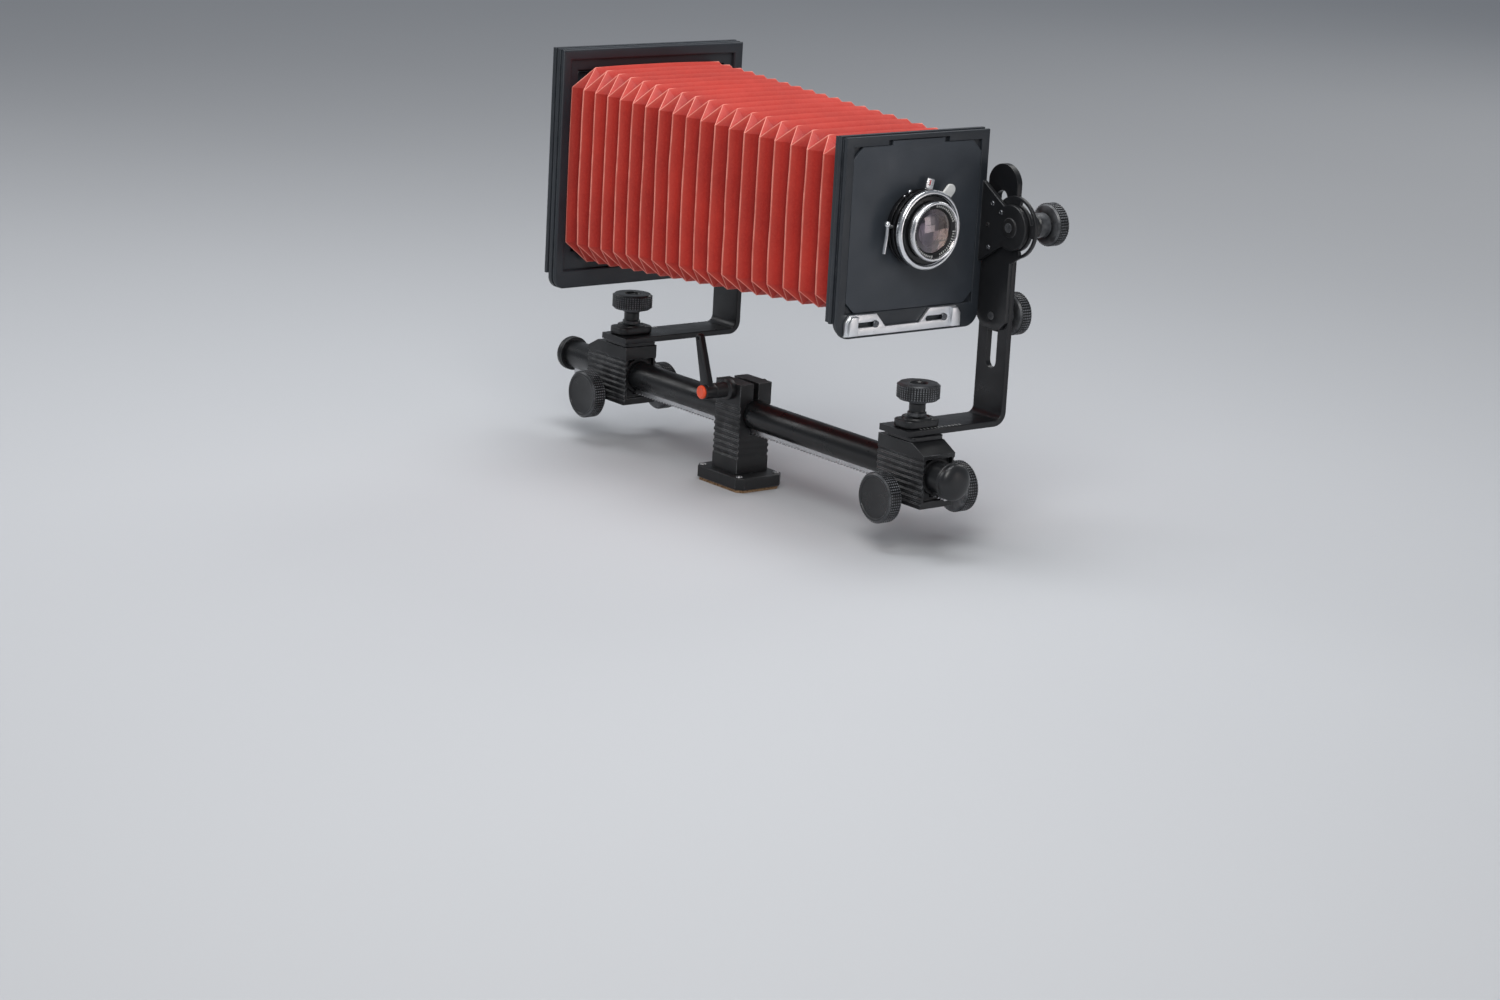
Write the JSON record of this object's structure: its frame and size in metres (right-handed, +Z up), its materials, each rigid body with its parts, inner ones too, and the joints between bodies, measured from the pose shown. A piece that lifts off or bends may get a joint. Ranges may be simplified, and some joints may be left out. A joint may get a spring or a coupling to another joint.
{
  "type": "large format view camera",
  "caption": "Monorail view camera on a tripod clamp: round rail, two geared focusing blocks, L-bracket standards with swing, shift, rise and tilt, red bellows, lens and screen back.",
  "frame": {"origin": "centre of the tripod clamp's foot, on the underside of its pad, midway between the two tripod bushes", "axes": "+Z up, lens looks along -Y, L-bracket uprights on the +X side; optical axis and rail lie in the plane X = 0"},
  "size_m": [0.2933, 0.66, 0.4347],
  "materials": {
    "crackle_paint": "black crackle paint on cast aluminium",
    "black_anodised": "satin black anodising",
    "black_plastic": "satin moulded, knurled on the knobs",
    "plain_steel": "plain turned",
    "chrome": "bright plated",
    "brass": "turned",
    "coated_glass": "coated lens",
    "ground_glass": "finely ground on one side",
    "red_cloth": "pleated coated cloth",
    "orange_plastic": "moulded cap",
    "cork": "cork composition sheet"
  },
  "bodies": {
    "tripod_clamp": {"clamp_body": "crackle_paint", "clamp_base": "crackle_paint", "base_pad": "cork", "tripod_bush": "plain_steel", "tripod_bush_small": "plain_steel"},
    "clamp_lever": {"clamp_lever": "black_anodised", "lever_cap": "orange_plastic"},
    "rail": {"rail_tube": "black_anodised", "focus_rack": "plain_steel", "rail_cap_front": "black_plastic", "rail_cap_rear": "black_plastic"},
    "front_block": {"front_bearer": "crackle_paint", "front_bearer_sleeve": "black_plastic"},
    "front_focus_drive": {"front_pinion_shaft": "plain_steel", "front_focus_knob_left": "black_plastic", "front_focus_knob_right": "black_plastic"},
    "front_turntable": {"front_swing_plate": "black_anodised", "front_swing_saddle": "black_plastic"},
    "front_swing_lock": {"front_swing_knob": "black_plastic"},
    "front_bracket": {"front_bracket": "black_anodised"},
    "front_carrier": {"front_rise_carrier": "black_plastic"},
    "front_rise_lock": {"front_rise_knob": "black_plastic"},
    "front_tilt_lock": {"front_tilt_knob": "black_plastic"},
    "rear_block": {"rear_bearer": "crackle_paint", "rear_bearer_sleeve": "black_plastic"},
    "rear_focus_drive": {"rear_pinion_shaft": "plain_steel", "rear_focus_knob_left": "black_plastic", "rear_focus_knob_right": "black_plastic"},
    "rear_turntable": {"rear_swing_plate": "black_anodised", "rear_swing_saddle": "black_plastic"},
    "rear_swing_lock": {"rear_swing_knob": "black_plastic"},
    "rear_bracket": {"rear_bracket": "black_anodised"},
    "rear_carrier": {"rear_rise_carrier": "black_plastic"},
    "rear_rise_lock": {"rear_rise_knob": "black_plastic"},
    "rear_tilt_lock": {"rear_tilt_knob": "black_plastic"},
    "front_standard": {"front_frame": "black_plastic", "lock_screw_left": "plain_steel", "lock_screw_right": "plain_steel", "lens_board": "crackle_paint", "shutter_body": "crackle_paint", "retaining_ring": "brass", "front_lens_cell": "black_anodised", "front_lens_glass": "coated_glass", "rear_lens_cell": "black_anodised", "rear_lens_glass": "coated_glass"},
    "rear_standard": {"rear_frame": "black_plastic", "back_plate": "crackle_paint", "bellows": "red_cloth"},
    "board_lock": {"board_lock": "chrome"},
    "speed_ring": {"speed_ring": "chrome"},
    "aperture_ring": {"aperture_ring": "chrome"},
    "cocking_ring": {"cocking_ring": "chrome"},
    "release_lever": {"release_lever": "chrome"},
    "spring_back": {"spring_back": "crackle_paint", "ground_glass": "ground_glass"},
    "bail_left": {"bail_left": "chrome"},
    "bail_right": {"bail_right": "chrome"}
  },
  "joints": [
    {"name": "rail_slide", "type": "slide", "parent": "tripod_clamp", "child": "rail", "axis": [0, 1, 0], "range_m": [-0.05, 0.06]},
    {"name": "clamp_lever_turn", "type": "hinge", "parent": "tripod_clamp", "child": "clamp_lever", "pos_m": [0, -0.004, 0.104], "axis": [1, 0, 0], "range_deg": [0, 75]},
    {"name": "front_focus", "type": "slide", "parent": "rail", "child": "front_block", "axis": [0, 1, 0], "range_m": [-0.008, 0.08], "deforming": ["bellows"]},
    {"name": "front_focus_knob_turn", "type": "hinge", "parent": "front_block", "child": "front_focus_drive", "pos_m": [0, -0.272, 0.053], "axis": [1, 0, 0], "range_deg": [-100, 970]},
    {"name": "front_swing", "type": "hinge", "parent": "front_block", "child": "front_turntable", "pos_m": [0, -0.274, 0.1125], "axis": [0, 0, 1], "range_deg": [-25, 25]},
    {"name": "front_swing_knob_turn", "type": "hinge", "parent": "front_turntable", "child": "front_swing_lock", "pos_m": [0, -0.274, 0.157], "axis": [0, 0, 1], "range_deg": [-180, 180]},
    {"name": "front_shift", "type": "slide", "parent": "front_turntable", "child": "front_bracket", "axis": [1, 0, 0], "range_m": [-0.015, 0.015]},
    {"name": "front_rise", "type": "slide", "parent": "front_bracket", "child": "front_carrier", "axis": [0, 0, 1], "range_m": [-0.025, 0.045]},
    {"name": "front_rise_knob_turn", "type": "hinge", "parent": "front_carrier", "child": "front_rise_lock", "pos_m": [0.1215, -0.27, 0.223], "axis": [1, 0, 0], "range_deg": [-180, 180]},
    {"name": "front_tilt", "type": "hinge", "parent": "front_carrier", "child": "front_standard", "pos_m": [0.0915, -0.2948, 0.316], "axis": [1, 0, 0], "range_deg": [-20, 20]},
    {"name": "front_tilt_knob_turn", "type": "hinge", "parent": "front_carrier", "child": "front_tilt_lock", "pos_m": [0.1315, -0.2948, 0.316], "axis": [1, 0, 0], "range_deg": [-180, 180]},
    {"name": "rear_focus", "type": "slide", "parent": "rail", "child": "rear_block", "axis": [0, 1, 0], "range_m": [-0.05, 0.045], "deforming": ["bellows"]},
    {"name": "rear_focus_knob_turn", "type": "hinge", "parent": "rear_block", "child": "rear_focus_drive", "pos_m": [0, 0.222, 0.053], "axis": [1, 0, 0], "range_deg": [-610, 550]},
    {"name": "rear_swing", "type": "hinge", "parent": "rear_block", "child": "rear_turntable", "pos_m": [0, 0.2, 0.1125], "axis": [0, 0, 1], "range_deg": [-25, 25]},
    {"name": "rear_swing_knob_turn", "type": "hinge", "parent": "rear_turntable", "child": "rear_swing_lock", "pos_m": [0, 0.2, 0.157], "axis": [0, 0, 1], "range_deg": [-180, 180]},
    {"name": "rear_shift", "type": "slide", "parent": "rear_turntable", "child": "rear_bracket", "axis": [1, 0, 0], "range_m": [-0.015, 0.015]},
    {"name": "rear_rise", "type": "slide", "parent": "rear_bracket", "child": "rear_carrier", "axis": [0, 0, 1], "range_m": [-0.004, 0.045]},
    {"name": "rear_rise_knob_turn", "type": "hinge", "parent": "rear_carrier", "child": "rear_rise_lock", "pos_m": [0.1487, 0.196, 0.223], "axis": [1, 0, 0], "range_deg": [-180, 180]},
    {"name": "rear_tilt", "type": "hinge", "parent": "rear_carrier", "child": "rear_standard", "pos_m": [0.1187, 0.2208, 0.316], "axis": [1, 0, 0], "range_deg": [-15, 15]},
    {"name": "rear_tilt_knob_turn", "type": "hinge", "parent": "rear_carrier", "child": "rear_tilt_lock", "pos_m": [0.1587, 0.2208, 0.316], "axis": [1, 0, 0], "range_deg": [-180, 180]},
    {"name": "board_lock_slide", "type": "slide", "parent": "front_standard", "child": "board_lock", "axis": [1, 0, 0], "range_m": [0, 0.02]},
    {"name": "speed_ring_turn", "type": "hinge", "parent": "front_standard", "child": "speed_ring", "pos_m": [0, -0.2733, 0.316], "axis": [0, 1, 0], "range_deg": [-170, 170]},
    {"name": "aperture_turn", "type": "hinge", "parent": "front_standard", "child": "aperture_ring", "pos_m": [0, -0.2578, 0.316], "axis": [0, 1, 0], "range_deg": [0, 50]},
    {"name": "cocking_turn", "type": "hinge", "parent": "front_standard", "child": "cocking_ring", "pos_m": [0, -0.2638, 0.316], "axis": [0, 1, 0], "range_deg": [0, 30]},
    {"name": "release_press", "type": "hinge", "parent": "front_standard", "child": "release_lever", "pos_m": [-0.043, -0.2628, 0.32], "axis": [0, 1, 0], "range_deg": [0, 12]},
    {"name": "back_open", "type": "slide", "parent": "rear_standard", "child": "spring_back", "axis": [0, 1, 0], "range_m": [0, 0.012]},
    {"name": "bail_left_swing", "type": "hinge", "parent": "rear_standard", "child": "bail_left", "pos_m": [-0.0845, 0.2081, 0.258], "axis": [1, 0, 0], "range_deg": [-46, 0]},
    {"name": "bail_right_swing", "type": "hinge", "parent": "rear_standard", "child": "bail_right", "pos_m": [0.0845, 0.2081, 0.258], "axis": [1, 0, 0], "range_deg": [-46, 0]}
  ],
  "couplings": [
    {"joint": "front_focus_knob_turn", "follows": "front_focus", "rad_per_m": 210.53},
    {"joint": "rear_focus_knob_turn", "follows": "rear_focus", "rad_per_m": 210.53},
    {"joint": "bail_left_swing", "follows": "back_open", "rad_per_m": -65.45},
    {"joint": "bail_right_swing", "follows": "back_open", "rad_per_m": -65.45}
  ]
}
